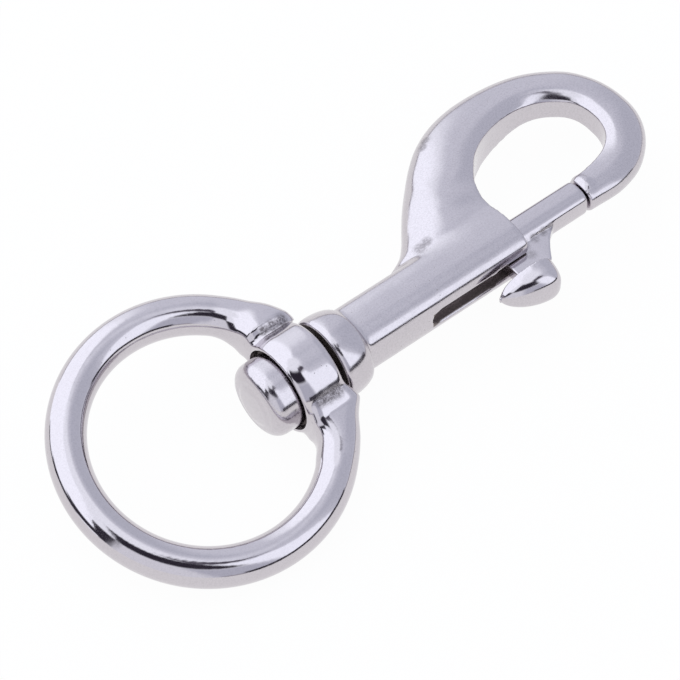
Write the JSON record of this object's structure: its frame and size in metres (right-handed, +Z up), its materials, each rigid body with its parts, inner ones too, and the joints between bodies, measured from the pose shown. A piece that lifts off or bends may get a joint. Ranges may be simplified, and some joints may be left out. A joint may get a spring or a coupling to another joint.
{
  "type": "swivel snap hook",
  "caption": "Snap hook with a sprung sliding bolt gate and a round swivel eye, cast and polished in stainless steel.",
  "frame": {"origin": "centre of the round eye, on the swivel axis", "axes": "+X along the swivel axis from the eye to the hook's far end, the hook lies in the XY plane with its spine toward +Y and its bolt toward -Y, +Z up, away from the surface it lies on"},
  "size_m": [0.1019, 0.0429, 0.0144],
  "materials": {
    "cast_steel": "cast and polished bright",
    "eye_steel": "cast and polished bright",
    "bolt_steel": "cast and polished bright",
    "spring_wire": "drawn wire"
  },
  "bodies": {
    "hook": {"body": "cast_steel", "spring": "spring_wire"},
    "eye": {"swivel_ring": "eye_steel"},
    "bolt": {"bolt": "bolt_steel"}
  },
  "joints": [
    {"name": "eye_swivel", "type": "hinge", "parent": "hook", "child": "eye", "pos_m": [0, 0, 0], "axis": [1, 0, 0], "continuous": true},
    {"name": "bolt_slide", "type": "slide", "parent": "hook", "child": "bolt", "axis": [-1, 0, 0], "range_m": [0, 0.0125], "stiffness_N_per_m": 300, "springref_m": -0.007, "deforming": ["spring"]}
  ]
}
